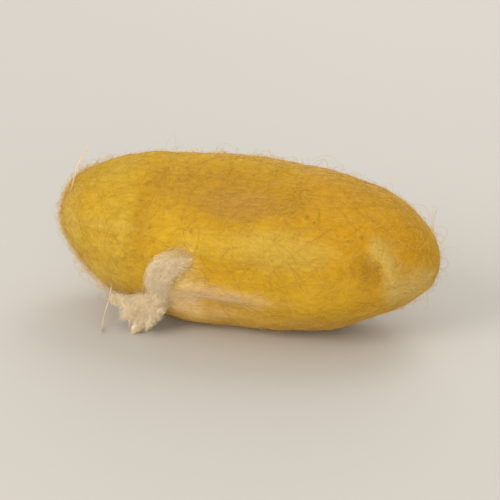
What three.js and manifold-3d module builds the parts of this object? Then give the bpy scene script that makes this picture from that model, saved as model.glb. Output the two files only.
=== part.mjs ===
// A silkworm's cocoon, lying on its side, with a wisp of loose floss caught on its front.
//
// Millimetres, +Z up. X runs along the cocoon, from its blunt end (-X) to its slimmer end (+X), and
// -Y is its front. The origin is on the flat spot that it rests on, under the middle of its length.
// A place on the wall is given by x and by an angle round the long axis: 0 degrees is the front,
// 90 the top, 180 the back and -90 the underside.

import * as THREE from "three";
import { ImprovedNoise } from "three/addons/math/ImprovedNoise.js";
import { mergeVertices } from "three/addons/utils/BufferGeometryUtils.js";
import Module from "manifold-3d";

// The cocoon's driving dimensions.
const LENGTH = 33.8;
const GIRTH = 14.7; // thickness across the middle
const BLUNT_END = 2.45; // superellipse exponent of the end at -X: 2 is an ellipse, more is boxier
const SLIM_END = 2.07; // the same for the end at +X
const BLUNT_END_RISE = 1.0; // how far the tip of the blunt end sits above the long axis
const PRESSED = 0.35; // depth of the flat spot that the cocoon has been pressed to

// The wall isn't smooth: lumps a few millimetres wide, and the crinkle of the outer silk.
const LUMPS = { across: 5.5, height: 0.34 };
const CRINKLE = { across: 1.7, height: 0.15 };

// Hollows, swells and creases. along and around are half widths on the wall, slant turns the
// feature on the wall, and height is outwards, so that a hollow's is negative.
const FEATURES = [
  { what: "hollow along the top", x: 0.5, angle: 64, along: 9.5, around: 3.2, slant: 0, height: -0.7 },
  { what: "shoulder under it", x: 2.0, angle: 20, along: 9.0, around: 1.4, slant: 3, height: 0.48 },
  { what: "tuck behind the cap", x: -7.9, angle: 42, along: 0.75, around: 5.6, slant: -7, height: -0.6 },
  { what: "lip of the blunt cap", x: -9.2, angle: 24, along: 0.6, around: 2.2, slant: -12, height: 0.32 },
  { what: "taper under the cap", x: -15.3, angle: -58, along: 1.8, around: 2.8, slant: 0, height: -0.75 },
  { what: "pleat across the cap", x: -12.2, angle: 25, along: 3.0, around: 0.5, slant: 4, height: 0.4 },
  { what: "hollow below that pleat", x: -11.2, angle: 15, along: 2.6, around: 0.8, slant: 2, height: -0.26 },
  { what: "pinch in the slim cap", x: 12.6, angle: 4, along: 0.7, around: 2.2, slant: 26, height: -0.75 },
  { what: "crest beside the pinch", x: 13.9, angle: 9, along: 0.6, around: 2.8, slant: 24, height: 0.42 },
  { what: "pleat beside the wisp", x: -1.2, angle: -18, along: 4.6, around: 0.42, slant: -5, height: 0.36 },
  { what: "hollow under the pleat", x: -0.6, angle: -31, along: 4.6, around: 1.2, slant: -4, height: -0.25 },
  { what: "swell at the lower front", x: 8.0, angle: -28, along: 4.5, around: 2.2, slant: -6, height: 0.26 },
  { what: "swell under the wisp", x: -4.4, angle: -64, along: 3.4, around: 2.4, slant: 0, height: 0.45 },
  { what: "taper under the slim end", x: 11.8, angle: -66, along: 3.2, around: 3.6, slant: 0, height: -0.55 },
  { what: "dent in the back", x: 4.5, angle: 168, along: 4.8, around: 2.6, slant: 12, height: -0.55 },
  { what: "fold down the back", x: -4.2, angle: 148, along: 0.8, around: 3.8, slant: 24, height: -0.34 },
  { what: "swell behind the cap", x: -10.5, angle: 196, along: 3.2, around: 2.8, slant: 0, height: 0.35 },
  { what: "pleat along the back", x: 9.5, angle: 205, along: 4.0, around: 0.6, slant: -8, height: 0.24 },
];

// Locks of the wisp, from root to tip. Each point is x, angle and how far it stands off the wall.
// A lock is a flat strand: width lies along the wall and depth stands out from it. Its width at
// the tip is taper times the width at its root, before the ends are rounded off.
const LOCKS = [
  {
    what: "tuft",
    path: [[-2.5, 8, -0.1], [-3.5, 6, 0.3], [-4.8, 1, 0.4], [-6, -9, 0.4], [-6.4, -20, 0.3], [-6.3, -30, 0]],
    width: 2.6,
    depth: 1.0,
    taper: 0.75,
  },
  {
    what: "hanging lock",
    path: [[-6.0, -20, 0.1], [-6.3, -30, 0.6], [-7.0, -38, 1.3], [-7.7, -43, 2.2], [-8.2, -44, 3.1]],
    width: 2.3,
    depth: 1.1,
    taper: 0.55,
  },
  {
    what: "side lock",
    path: [[-6.0, -26, 0.3], [-7.3, -32, 0.8], [-9.0, -36, 1.1], [-10.7, -40, 1.2]],
    width: 1.7,
    depth: 0.9,
    taper: 0.5,
  },
  {
    what: "middle lock",
    path: [[-6.1, -28, 0.4], [-7.7, -37, 1.4], [-9.3, -40, 2.4]],
    width: 2.2,
    depth: 1.0,
    taper: 0.6,
  },
  {
    what: "short lock",
    path: [[-5.8, -29, 0.5], [-6.4, -37, 1.6], [-6.8, -40, 2.7]],
    width: 1.4,
    depth: 0.9,
    taper: 0.5,
  },
];

// Strands of silk that have come free of the wall. A strand is a lock as thick as it is wide. It
// is drawn thicker than the few threads that it stands for, and its root is sunk in the wall.
const STRAND_THICKNESS = 0.3;
const STRANDS = [
  {
    what: "upper strand",
    path: [[-15.3, 10, -0.3], [-15.6, 45, 0.15], [-15.5, 70, 0.4], [-15.2, 82, 1.1], [-14.8, 90, 2.0]],
  },
  {
    what: "lower strand",
    path: [[-10.9, -36, -0.5], [-11.0, -43, 1.0], [-11.2, -47, 2.3], [-11.1, -45, 3.8], [-10.7, -40, 4.6]],
  },
  { what: "strand over the top", path: [[-1.0, 74, -0.9], [-1.9, 86, 0.3], [-2.5, 90, 0.9]] },
  { what: "second strand over the top", path: [[2.7, 78, -0.9], [2.2, 90, 0.3], [1.6, 94, 0.95]] },
  {
    what: "strand at the slim end",
    path: [[15.1, 30, -0.5], [16.2, 45, 0.9], [16.6, 70, 1.7], [16.3, 100, 2.4], [15.7, 118, 2.0]],
  },
  { what: "strand behind", path: [[7.5, 150, -0.5], [5.5, 165, 0.7], [3.0, 172, 0.9], [0.5, 185, -0.3]] },
];

// How finely the faceted solid follows the cocoon.
const FACETS_AROUND = 70;
const FACETS_ALONG = 58;
const LOCK_FACETS = { around: 9, along: 13 };
const STRAND_FACETS = { around: 4, along: 9 };

const HALF = LENGTH / 2;
const AXIS_HEIGHT = GIRTH / 2 - PRESSED;
const noise = new ImprovedNoise();

// The thickness that a plain cocoon has at x, halved.
function plainRadius(x) {
  const share = THREE.MathUtils.clamp(x / HALF, -1, 1);
  const exponent = THREE.MathUtils.lerp(BLUNT_END, SLIM_END, (share + 1) / 2);
  return (GIRTH / 2) * (1 - Math.abs(share) ** exponent) ** (1 / exponent);
}

// The height of the long axis at x. It bends up towards the tip of the blunt end.
function axisHeight(x) {
  const share = Math.min(x / HALF, 0);
  return AXIS_HEIGHT + BLUNT_END_RISE * share ** 4;
}

// A place at a distance from the long axis.
function placeOff(x, angle, distance) {
  return new THREE.Vector3(
    x,
    -distance * Math.cos(angle),
    axisHeight(x) + distance * Math.sin(angle),
  );
}

// The shortest way from one angle to another.
function turnBetween(from, to) {
  return Math.atan2(Math.sin(to - from), Math.cos(to - from));
}

// How far a hollow, swell or crease moves the wall at this place.
function featureHeight(feature, x, angle, radius) {
  const slant = THREE.MathUtils.degToRad(feature.slant);
  const dx = x - feature.x;
  const arc = turnBetween(THREE.MathUtils.degToRad(feature.angle), angle) * radius;
  const along = (dx * Math.cos(slant) + arc * Math.sin(slant)) / feature.along;
  const around = (arc * Math.cos(slant) - dx * Math.sin(slant)) / feature.around;
  return feature.height * Math.exp(-(along ** 2) - around ** 2);
}

// Noise of a given grain size at a place.
function roughness({ across, height }, place) {
  return height * noise.noise(place.x / across, place.y / across, place.z / across);
}

// The finished wall.
function wallPoint(x, angle) {
  const radius = plainRadius(x);
  const plain = placeOff(x, angle, radius);
  const shaped = FEATURES.reduce((sum, f) => sum + featureHeight(f, x, angle, radius), 0);
  const rough = roughness(LUMPS, plain) + roughness(CRINKLE, plain);
  const nearTip = THREE.MathUtils.smoothstep(radius, 0, GIRTH / 5);
  return placeOff(x, angle, radius + (shaped + rough) * nearTip);
}

// A unit sphere whose every vertex is moved by a function of its height on the sphere's own axis,
// from -1 to 1, and of its angle round that axis.
function shapedSphere(around, along, move) {
  const geometry = new THREE.SphereGeometry(1, around, along);
  geometry.deleteAttribute("normal");
  geometry.deleteAttribute("uv");
  const sphere = mergeVertices(geometry, 1e-5);
  const position = sphere.getAttribute("position");
  const vertex = new THREE.Vector3();
  for (let i = 0; i < position.count; i++) {
    vertex.fromBufferAttribute(position, i);
    const moved = move(vertex.y, Math.atan2(-vertex.x, vertex.z));
    position.setXYZ(i, moved.x, moved.y, moved.z);
  }
  return sphere;
}

// The cocoon's wall, as a closed surface.
function cocoonWall() {
  return shapedSphere(FACETS_AROUND, FACETS_ALONG, (height, turn) => wallPoint(height * HALF, turn));
}

// A flat strand along a curve, round at its root and drawn out to its tip.
function strandAlong({ path, width, depth, taper }, facets) {
  const curve = new THREE.CatmullRomCurve3(
    path.map(([x, degrees, off]) => {
      const angle = THREE.MathUtils.degToRad(degrees);
      return placeOff(x, angle, plainRadius(x) + off);
    }),
  );
  return shapedSphere(facets.around, facets.along, (height, turn) => {
    const share = (height + 1) / 2;
    const centre = curve.getPoint(share);
    const onward = curve.getTangent(share);
    const outward = new THREE.Vector3(0, centre.y, centre.z - axisHeight(centre.x)).normalize();
    const sideways = new THREE.Vector3().crossVectors(onward, outward).normalize();
    const fullness = Math.sqrt(1 - height ** 2) * THREE.MathUtils.lerp(1, taper, share);
    return centre
      .addScaledVector(sideways, (width / 2) * fullness * Math.cos(turn))
      .addScaledVector(outward, (depth / 2) * fullness * Math.sin(turn));
  });
}

const wasm = await Module();
wasm.setup();

// A closed three.js surface as a solid that can be joined and cut.
function solid(geometry) {
  return new wasm.Manifold(
    new wasm.Mesh({
      numProp: 3,
      vertProperties: new Float32Array(geometry.getAttribute("position").array),
      triVerts: new Uint32Array(geometry.index.array),
    }),
  );
}

// A solid as a three.js geometry.
function geometryOf(made) {
  const { vertProperties, triVerts } = made.getMesh();
  const geometry = new THREE.BufferGeometry();
  geometry.setAttribute("position", new THREE.BufferAttribute(vertProperties, 3));
  geometry.setIndex(new THREE.BufferAttribute(triVerts, 1));
  return geometry;
}

// Everything below the surface that the cocoon lies on.
function groundBlock() {
  const block = new THREE.BoxGeometry(2 * LENGTH, 2 * LENGTH, LENGTH);
  block.deleteAttribute("normal");
  block.deleteAttribute("uv");
  return mergeVertices(block.translate(0, 0, -LENGTH / 2));
}

// The locks of the wisp and the strands, each as a closed surface.
function looseSilk() {
  const strand = { width: STRAND_THICKNESS, depth: STRAND_THICKNESS, taper: 1 };
  return [
    ...LOCKS.map((lock) => strandAlong(lock, LOCK_FACETS)),
    ...STRANDS.map(({ path }) => strandAlong({ path, ...strand }, STRAND_FACETS)),
  ];
}

// The cocoon with its loose silk grown onto it, and the flat spot pressed into its underside.
function cocoon() {
  const joined = looseSilk().reduce((body, piece) => body.add(solid(piece)), solid(cocoonWall()));
  const geometry = geometryOf(joined.subtract(solid(groundBlock())));
  geometry.computeVertexNormals();
  const silk = new THREE.MeshStandardMaterial({ color: 0xc9a13c, roughness: 0.75, metalness: 0 });
  const mesh = new THREE.Mesh(geometry, silk);
  mesh.name = "cocoon";
  return mesh;
}

const part = new THREE.Group();
part.add(cocoon());

export default part;
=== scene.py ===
# %% [markdown]
# # A silk cocoon
#
# A silkworm spins its cocoon from one thread, laid in loops that stick to each other as they dry.
# What comes out is a felted wall, firm and a little puckered, with a haze of loose silk round it.
# This lesson dresses the plain solid of such a cocoon. It goes from the big to the small: first
# the wall and its puckers, then the threads that lie on the wall, the haze that stands off it and
# the wisp of pale floss on its front, and last the colours and finishes of them all.

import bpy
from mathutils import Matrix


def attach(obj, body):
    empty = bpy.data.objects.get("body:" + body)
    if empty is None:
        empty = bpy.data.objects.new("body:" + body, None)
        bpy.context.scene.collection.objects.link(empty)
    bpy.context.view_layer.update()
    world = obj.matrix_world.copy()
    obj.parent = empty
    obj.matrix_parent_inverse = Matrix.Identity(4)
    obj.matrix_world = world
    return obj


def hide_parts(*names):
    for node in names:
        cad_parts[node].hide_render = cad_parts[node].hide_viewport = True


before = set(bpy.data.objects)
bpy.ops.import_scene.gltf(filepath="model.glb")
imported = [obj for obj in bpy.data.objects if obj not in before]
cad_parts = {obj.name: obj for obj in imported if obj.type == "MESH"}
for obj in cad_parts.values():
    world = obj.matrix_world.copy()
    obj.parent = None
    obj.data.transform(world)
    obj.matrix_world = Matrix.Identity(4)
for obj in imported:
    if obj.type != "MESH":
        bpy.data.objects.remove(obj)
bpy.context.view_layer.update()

# %% Tools and units
import math

import bpy
import numpy as np
from mathutils import Vector
from mathutils.bvhtree import BVHTree

MM = 0.001

# %% [markdown]
# ## Where things are on a cocoon
#
# Everything on the wall is placed by two numbers, as a town is by longitude and latitude: how far
# along the cocoon it is, and how far round. Zero degrees is the front, 90 the top and -90 the
# underside. The plain shape between the two ends is a superellipse: an ellipse with an exponent
# that can be more than two, which makes an end blunter. The blunt end's tip also rides up a bit.

# %% The plain shape, as a formula
LENGTH = 33.8 * MM
GIRTH = 14.7 * MM
BLUNT_END = 2.45  # the exponents at the two ends
SLIM_END = 2.07
BLUNT_END_RISE = 1.0 * MM
PRESSED = 0.35 * MM
HALF = LENGTH / 2
AXIS_HEIGHT = GIRTH / 2 - PRESSED


def place_off_wall(along, degrees, off=0.0):
    """Points near the wall: along and off are in metres, and may be arrays, as degrees may."""
    share = np.clip(np.asarray(along, dtype=float) / HALF, -1, 1)
    exponent = BLUNT_END + (SLIM_END - BLUNT_END) * (share + 1) / 2
    distance = GIRTH / 2 * (1 - np.abs(share) ** exponent) ** (1 / exponent) + off
    rise = BLUNT_END_RISE * np.minimum(share, 0) ** 4
    turn = np.radians(degrees)
    return np.stack(
        [share * HALF, -distance * np.cos(turn), AXIS_HEIGHT + rise + distance * np.sin(turn)],
        axis=-1,
    )


print("top of the plain shape:", place_off_wall(0.0, 90.0))

# %% [markdown]
# ## Routes of loose silk
#
# What hangs loose on the wall follows a route: a few places by which it goes, each with how far
# it stands off the wall. A curve object could join them, but thousands of threads will run beside
# these routes, so it's easier to work out the smooth line as an array. A Catmull-Rom spline does
# that: it goes through every place, and its direction there is from the place before to the next.


# %% A smooth line through a route's places
def along_route(route, shares):
    """Points at these shares, 0 to 1, of a smooth line through a route's places."""
    stops = np.array([place_off_wall(x * MM, turn, off * MM) for x, turn, off in route])
    padded = np.vstack([2 * stops[0] - stops[1], stops, 2 * stops[-1] - stops[-2]])
    spot = np.clip(shares, 0, 1) * (len(stops) - 1)
    first = np.minimum(spot.astype(int), len(stops) - 2)
    t = (spot - first)[..., None]
    a, b, c, d = (padded[first + k] for k in range(4))
    return 0.5 * (
        2 * b + (c - a) * t + (2 * a - 5 * b + 4 * c - d) * t**2 + (3 * b - a - 3 * c + d) * t**3
    )


# %% Routes of the free strands
# A place is millimetres along, degrees round and millimetres off the wall. spread is how wide
# a strand's bundle of threads is, and waver how far they waver at its tip, in millimetres too.
ROUTE_SHARES = np.linspace(0, 1, 48)
STRANDS = {
    "upper strand": {
        "route": [
            (-15.3, 10, -0.6), (-15.6, 45, -0.1), (-15.5, 70, 0.35), (-15.2, 82, 1.1),
            (-14.8, 90, 2.0),
        ],
        "threads": 7, "spread": 0.05, "waver": 0.08,
    },
    "lower strand": {
        "route": [
            (-10.9, -36, -0.5), (-11.0, -43, 1.0), (-11.2, -47, 2.3), (-11.1, -45, 3.8),
            (-10.7, -40, 4.6),
        ],
        "threads": 7, "spread": 0.05, "waver": 0.08,
    },
    "strand over the top": {
        "route": [(-1.0, 74, -0.9), (-1.9, 86, 0.3), (-2.5, 90, 0.9)],
        "threads": 2, "spread": 0.05, "waver": 0.1,
    },
    "second strand over the top": {
        "route": [(2.7, 78, -0.9), (2.2, 90, 0.3), (1.6, 94, 0.95)],
        "threads": 2, "spread": 0.05, "waver": 0.1,
    },
    "strand at the slim end": {
        "route": [
            (15.1, 30, -0.5), (16.2, 45, 0.9), (16.6, 70, 1.7), (16.3, 100, 2.4), (15.7, 118, 2.0),
        ],
        "threads": 2, "spread": 0.08, "waver": 0.15,
    },
    "strand behind": {
        "route": [(7.5, 150, -0.5), (5.5, 165, 0.7), (3.0, 172, 0.9), (0.5, 185, -0.3)],
        "threads": 2, "spread": 0.08, "waver": 0.15,
    },
}
print(len(STRANDS), "strands")

# %% [markdown]
# ## Camera and light
#
# The cocoon is small, so the camera is a long lens half a metre away, which keeps the far end as
# big as the near one. A big soft lamp from the upper left shows the puckers without hard shadows,
# and one from the lower right fills them. Two more stand behind, so that the back isn't dark and
# the loose silk has a bright edge. A pale sky does the rest.

# %% Camera
VIEW_AZIMUTH = math.radians(19)
VIEW_ELEVATION = math.radians(21)
VIEW_DISTANCE = 0.5
FRAME_WIDTH = 43 * MM  # how much the picture takes in, at the cocoon
SENSOR = 36.0

camera_data = bpy.data.cameras.new("camera")
camera_data.sensor_width = SENSOR
camera_data.lens = SENSOR * VIEW_DISTANCE / FRAME_WIDTH
camera_data.clip_start = 0.01
camera = bpy.data.objects.new("camera", camera_data)
bpy.context.collection.objects.link(camera)
towards_camera = Vector((
    math.sin(VIEW_AZIMUTH) * math.cos(VIEW_ELEVATION),
    -math.cos(VIEW_AZIMUTH) * math.cos(VIEW_ELEVATION),
    math.sin(VIEW_ELEVATION),
))
LOOK_AT = Vector((0, 0, 0.42 * GIRTH))
camera.location = LOOK_AT + towards_camera * VIEW_DISTANCE
camera.rotation_euler = towards_camera.to_track_quat("Z", "Y").to_euler()
bpy.context.scene.camera = camera
bpy.context.scene.view_settings.view_transform = "Standard"
print("lens:", round(camera_data.lens), "mm")

# %% Lamps and sky
LAMPS = {
    "key": {"at": (-0.15, -0.25, 0.18), "size": 0.2, "power": 0.6, "colour": (1, 0.97, 0.93)},
    "fill": {"at": (0.14, -0.3, 0.05), "size": 0.2, "power": 0.57, "colour": (1, 0.97, 0.92)},
    "back": {"at": (0.04, 0.2, 0.24), "size": 0.16, "power": 0.22, "colour": (1, 0.99, 0.97)},
    "low back": {"at": (-0.06, 0.34, 0.1), "size": 0.24, "power": 0.42, "colour": (1, 0.98, 0.95)},
}
for name, lamp in LAMPS.items():
    light = bpy.data.lights.new(name, "AREA")
    light.size = lamp["size"]
    light.energy = lamp["power"]
    light.color = lamp["colour"]
    holder = bpy.data.objects.new(name, light)
    holder.location = lamp["at"]
    holder.rotation_euler = (Vector(lamp["at"]) - LOOK_AT).to_track_quat("Z", "Y").to_euler()
    bpy.context.collection.objects.link(holder)

SKY = (0.92, 0.91, 0.88, 1)
SKY_STRENGTH = 0.72
world = bpy.data.worlds.new("studio")
world.use_nodes = True
world.node_tree.nodes["Background"].inputs["Color"].default_value = SKY
world.node_tree.nodes["Background"].inputs["Strength"].default_value = SKY_STRENGTH
bpy.context.scene.world = world
print(len(LAMPS), "lamps")

# %% [markdown]
# ## Working by hand, in code
#
# Three habits carry through the lesson. Everything is deselected before something new is made or
# changed, because an operator acts on all that is selected. A modifier is applied as soon as it
# is set, so that the mesh always is what it looks like. And each node of a material is put in
# with one call, which sets its values and joins its wires.


# %% Helpers for objects
def only(obj):
    """Selects this object and nothing else."""
    bpy.ops.object.select_all(action="DESELECT")
    obj.select_set(True)
    bpy.context.view_layer.objects.active = obj


def apply_modifier(obj, kind, **settings):
    """Puts a modifier on an object and applies it at once."""
    modifier = obj.modifiers.new(kind.lower(), kind)
    for name, value in settings.items():
        setattr(modifier, name, value)
    only(obj)
    bpy.ops.object.modifier_apply(modifier=modifier.name)


def points_of(obj):
    """Where an object's vertices are, as an array."""
    flat = np.empty(3 * len(obj.data.vertices))
    obj.data.vertices.foreach_get("co", flat)
    return flat.reshape(-1, 3)


def move_points(obj, points):
    """Puts an object's vertices at these places."""
    obj.data.vertices.foreach_set("co", points.ravel())
    obj.data.update()


def keep_above_floor(obj):
    """Lifts the vertices that went below the floor. Returns where all vertices are."""
    points = points_of(obj)
    points[:, 2] = np.maximum(points[:, 2], 0)
    move_points(obj, points)
    return points


def paint(obj, name, values):
    """Stores one number for each vertex, which a material can read by this name."""
    layer = obj.data.attributes.new(name, "FLOAT", "POINT")
    layer.data.foreach_set("value", np.asarray(values, dtype=np.float32))


def smoothstep(low, high, values):
    """0 below low, 1 above high, and a smooth ramp between."""
    share = np.clip((values - low) / (high - low), 0, 1)
    return share * share * (3 - 2 * share)


# %% Helpers for materials
def add_node(tree, kind, wires=None, **settings):
    """Adds a node. wires maps a socket's name or number to a value, or to the socket it reads."""
    node = tree.nodes.new(kind)
    for name, value in settings.items():
        setattr(node, name, value)
    for name, source in (wires or {}).items():
        if isinstance(source, bpy.types.NodeSocket):
            tree.links.new(source, node.inputs[name])
        else:
            node.inputs[name].default_value = source
    return node


def maths(tree, operation, *values):
    """The result of a Math node."""
    return add_node(tree, "ShaderNodeMath", dict(enumerate(values)), operation=operation).outputs[0]


def mix_colours(tree, share, under, over):
    """The result of mixing two colours. Sockets 0, 6 and 7 are the share and the two colours."""
    wires = {0: share, 6: under, 7: over}
    return add_node(tree, "ShaderNodeMix", wires, data_type="RGBA").outputs[2]


def noise(tree, scale, **values):
    """Cloudy noise that is fixed to the object. scale is in clouds per metre."""
    place = add_node(tree, "ShaderNodeTexCoord").outputs["Object"]
    wires = {name.capitalize(): value for name, value in values.items()}
    wires.update(Vector=place, Scale=scale)
    return add_node(tree, "ShaderNodeTexNoise", wires).outputs["Fac"]


def new_group(name, inputs, outputs):
    """An empty node group with these sockets. Returns its tree, its inputs and its output node."""
    tree = bpy.data.node_groups.new(name, "ShaderNodeTree")
    for socket, default in inputs.items():
        made = tree.interface.new_socket(socket, in_out="INPUT", socket_type="NodeSocketFloat")
        made.default_value = default
    for socket, kind in outputs.items():
        tree.interface.new_socket(socket, in_out="OUTPUT", socket_type=kind)
    entry = tree.nodes.new("NodeGroupInput")
    print("group:", name)
    return tree, entry.outputs, tree.nodes.new("NodeGroupOutput")


def use_group(tree, group, **values):
    """Places a group. An underscore in a value's name stands for a space."""
    wires = {name.replace("_", " ").capitalize(): value for name, value in values.items()}
    return add_node(tree, "ShaderNodeGroup", wires, node_tree=group)


def new_material(name, **values):
    """A material's tree and shader, with these plain values. An underscore stands for a space."""
    material = bpy.data.materials.new(name)
    material.use_nodes = True
    shader = material.node_tree.nodes["Principled BSDF"]
    for key, value in values.items():
        shader.inputs[key.replace("_", " ")].default_value = value
    print("material:", name)
    return material, material.node_tree, shader


def linear(red, green, blue):
    """A colour given as on a screen, 0 to 255, as the light that a material needs."""
    shares = [channel / 255 for channel in (red, green, blue)]
    return (*[c / 12.92 if c <= 0.04045 else ((c + 0.055) / 1.055) ** 2.4 for c in shares], 1)


# %% [markdown]
# ## The floor
#
# The floor is only a stage. It could be one big plane, but a plane alone shows its far edge as a
# hard line. A disc that is wider than any view avoids that, and a faint cloud in its grey keeps
# it from looking like paper.

# %% Make the floor
FLOOR_RADIUS = 2.5
FLOOR_GREY = linear(198, 194, 187)
FLOOR_GREY_WORN = linear(192, 187, 179)
FLOOR_CLOUDS = 9.0  # per metre

bpy.ops.object.select_all(action="DESELECT")
bpy.ops.mesh.primitive_circle_add(vertices=96, radius=FLOOR_RADIUS, fill_type="NGON")
floor = bpy.context.object
floor.name = "floor"
plaster, plaster_tree, plaster_shader = new_material("pale plaster", Roughness=0.8)
plaster_cloud = noise(plaster_tree, FLOOR_CLOUDS)
plaster_grey = mix_colours(plaster_tree, plaster_cloud, FLOOR_GREY, FLOOR_GREY_WORN)
plaster_tree.links.new(plaster_grey, plaster_shader.inputs["Base Color"])
floor.data.materials.append(plaster)
print("floor:", 2 * FLOOR_RADIUS, "m across")

# %% [markdown]
# ## The wall
#
# The wall is felt: silk loops pressed together and puckered as they dried. It could be modelled
# by subdividing the plain solid, but that solid's triangles are long where the wisp grows out of
# it, and a subdivided long triangle ripples. So a copy of it is first merged, then remeshed into
# even cells a seventh of a millimetre wide, smoothed until the facets are gone, and then puckered
# again by displacing it along its normals with four grains of noise, each finer than the last.
# The solid's free strands are too thin for such cells, so they are cut off the copy first, and
# come back later as real threads.

# %% Copy and merge the solid, without its strands
WALL_CELL = 0.145 * MM
SMOOTHING_PASSES = 18
STRAND_CUT = 0.32 * MM

wall = bpy.data.objects.new("cocoon_wall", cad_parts["cocoon"].data.copy())
bpy.context.collection.objects.link(wall)
wall.data.materials.clear()
only(wall)
bpy.ops.object.mode_set(mode="EDIT")
bpy.ops.mesh.select_all(action="SELECT")
bpy.ops.mesh.remove_doubles(threshold=0.001 * MM)
bpy.ops.mesh.select_all(action="DESELECT")
bpy.ops.object.mode_set(mode="OBJECT")
solid_points = points_of(wall)
in_strand = np.zeros(len(solid_points), dtype=bool)
for strand in STRANDS.values():
    line = along_route(strand["route"], ROUTE_SHARES)
    in_strand |= np.linalg.norm(solid_points[:, None] - line, axis=2).min(axis=1) < STRAND_CUT
wall.data.vertices.foreach_set("select", in_strand)
bpy.ops.object.mode_set(mode="EDIT")
bpy.ops.mesh.delete(type="VERT")
bpy.ops.mesh.select_all(action="SELECT")
bpy.ops.mesh.fill_holes(sides=0)
bpy.ops.object.mode_set(mode="OBJECT")
print("cut off with the strands:", int(in_strand.sum()), "vertices")

# %% Remesh and smooth it
apply_modifier(wall, "REMESH", mode="VOXEL", voxel_size=WALL_CELL, use_smooth_shade=True)
apply_modifier(wall, "SMOOTH", factor=0.5, iterations=SMOOTHING_PASSES)
print("wall:", len(wall.data.polygons), "faces")

# %% Pucker it
PUCKERS = {
    "swells": {"grain": 3.0, "height": 0.16},
    "puckers": {"grain": 1.3, "height": 0.07, "basis": "VORONOI_F2_F1"},
    "crinkles": {"grain": 0.6, "height": 0.06},
    "felt": {"grain": 0.28, "height": 0.035, "basis": "VORONOI_F1"},
}


def displace(name, grain, height, basis="ORIGINAL_PERLIN", depth=1, **settings):
    """Moves the wall in and out along its normals by noise. grain and height are in millimetres."""
    texture = bpy.data.textures.new(name, "CLOUDS")
    texture.noise_scale = grain * MM
    texture.noise_basis = basis
    texture.noise_depth = depth
    apply_modifier(
        wall, "DISPLACE", texture=texture, texture_coords="LOCAL", strength=height * MM, **settings
    )


for name, pucker in PUCKERS.items():
    displace(name, **pucker)
wall_points = keep_above_floor(wall)
print("puckered with", len(PUCKERS), "grains of noise")

# %% [markdown]
# ## The locks of the wisp
#
# The wisp is a pinch of pale floss that was pulled up from the wall. It hangs over the front in
# five locks. The solid already has them as smooth strands, and the threads that come later need
# to know where they run, so their routes are written down here. A thin trail of the same floss
# leads from them along the front, flat on the wall. The wall also gets a number at each vertex
# that says how deep in the floss it is, so that its material can turn pale there. Then the locks
# are shaped: the first, the tuft, is drawn in on its left, the other four are drawn out to points,
# and all five are teased by noise.

# %% Routes of the locks
# width and depth are in millimetres. taper is the tip's width beside the root's, and lean is how
# far the lock leans over to its left. fray is how much its threads spread at the tip, or draw
# together if it is below 0. Outside pinch, two shares of its length, a lock gets no thinner.
LOCKS = {
    "tuft": {
        "route": [
            (-2.5, 7, -0.1), (-3.4, 5, 0.3), (-4.6, 0, 0.4), (-5.6, -9, 0.4), (-5.9, -20, 0.3),
            (-6.0, -30, 0),
        ],
        "width": 2.0, "depth": 1.0, "taper": 0.8, "lean": 0.5, "fray": 0.3, "pinch": (0.08, 0.93),
    },
    "hanging lock": {
        "route": [
            (-5.8, -20, 0.1), (-6.1, -30, 0.6), (-6.9, -38, 1.3), (-7.7, -43, 2.2),
            (-8.2, -44, 3.1),
        ],
        "width": 2.0, "depth": 1.1, "taper": 0.55, "lean": 0.0, "fray": -0.4, "pinch": (0.04, 0.97),
    },
    "side lock": {
        "route": [(-6.0, -26, 0.3), (-7.3, -32, 0.8), (-9.0, -36, 1.1), (-10.7, -40, 1.2)],
        "width": 1.7, "depth": 0.9, "taper": 0.5, "lean": 0.0, "fray": 0.6, "pinch": (0.04, 0.93),
    },
    "middle lock": {
        "route": [(-6.1, -28, 0.4), (-7.7, -37, 1.4), (-9.3, -40, 2.4)],
        "width": 2.2, "depth": 1.0, "taper": 0.5, "lean": 0.0, "fray": 0.1, "pinch": (0.04, 0.93),
    },
    "short lock": {
        "route": [(-5.8, -29, 0.5), (-6.4, -37, 1.6), (-6.8, -40, 2.7)],
        "width": 1.3, "depth": 0.9, "taper": 0.4, "lean": 0.0, "fray": -0.5, "pinch": (0.04, 0.97),
    },
}
TRAIL = {
    "route": [
        (-6.1, -34, 0.2), (-4.6, -32, 0), (-3.3, -24, 0), (-1.6, -19, 0), (0.2, -20, 0),
        (1.9, -22, 0), (3.8, -26, 0),
    ],
    "width": 1.6, "depth": 0.3, "taper": 0.8, "lean": 0.0, "fray": 0.2, "pinch": (0.35, 0.6),
}
print(len(LOCKS), "locks and a trail")


# %% How full a lock is, and which way it faces
def lock_fullness(lock, shares):
    """How wide a lock is at these shares of its length, as a share of its full width."""
    rounded = np.sqrt(np.clip(1 - (2 * shares - 1) ** 2, 0, 1))
    return rounded * (1 + (lock["taper"] - 1) * shares)


def lock_frame(lock, shares):
    """The middle of a lock at these shares of its length, and the ways across and out from it."""
    middle = along_route(lock["route"], shares)
    onward = np.gradient(middle, axis=-2)
    out = middle * [0, 1, 1] - [0, 0, AXIS_HEIGHT]
    out = out / np.linalg.norm(out, axis=-1, keepdims=True)
    across = np.cross(onward / np.linalg.norm(onward, axis=-1, keepdims=True), out)
    return middle, across, out


# %% Mark the floss on the wall
TRAIL_PALENESS = 0.3
LEANS_OVER = 0.5  # in half widths, for a lean of 1
LEAN_NARROWS = 0.4
FLOSS_MARGIN = 0.2 * MM
FLOSS_FADES = (0.6, 1.4)  # from here to there, in half widths of the lock
COMES_OUT = smoothstep(0.0, 0.3, ROUTE_SHARES)  # a lock comes out of the wall at its start

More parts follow.
